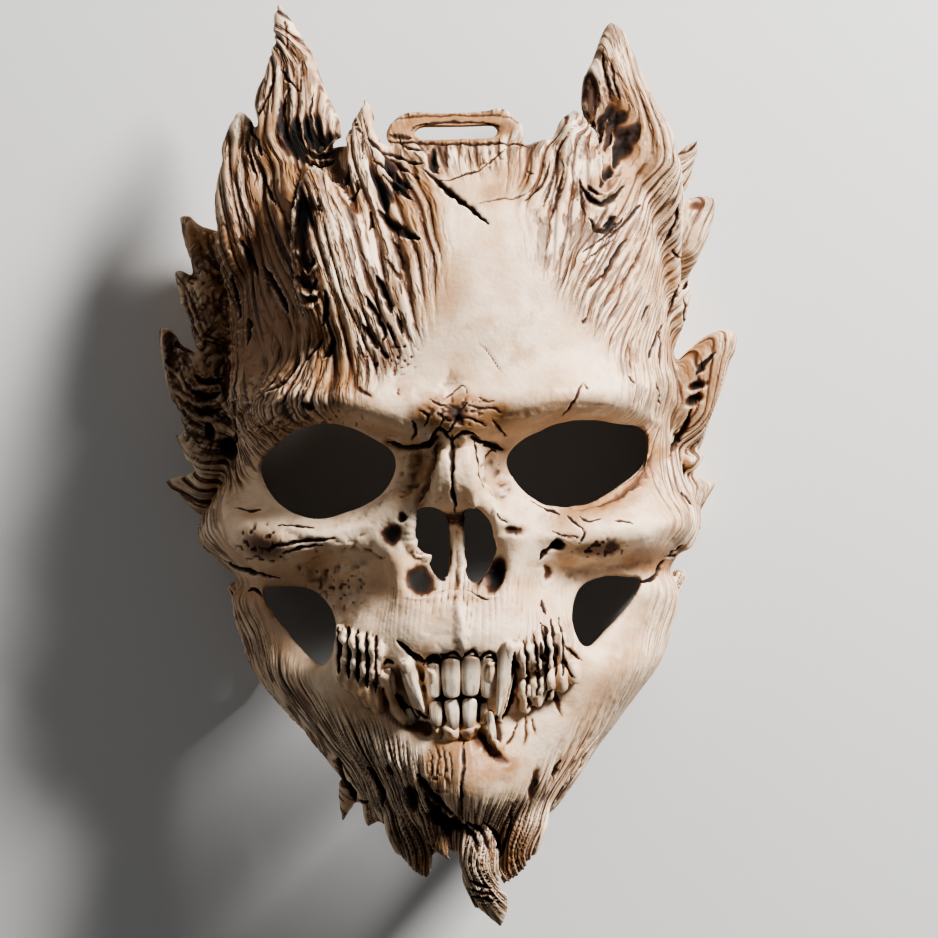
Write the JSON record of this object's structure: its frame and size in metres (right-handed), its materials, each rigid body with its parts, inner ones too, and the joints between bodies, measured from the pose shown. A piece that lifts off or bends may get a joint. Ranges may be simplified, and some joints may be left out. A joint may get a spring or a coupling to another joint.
{
  "type": "skull mask",
  "caption": "Rigid full-face horned skull mask, a one-piece cast shell with open eyes, cheeks and nose, and slotted tabs for a head strap.",
  "frame": {"origin": "middle of the bounding box on the surface that the rim rests on", "axes": "+X across the face to the viewer's right, +Y up the face from chin to horns, +Z out of the face, up from the surface that the mask lies on"},
  "size_m": [0.2133, 0.3323, 0.1148],
  "materials": {
    "painted_resin": "cast resin, painted as old bone, matte"
  },
  "bodies": {
    "root": {"mask_shell": "painted_resin"}
  },
  "joints": []
}
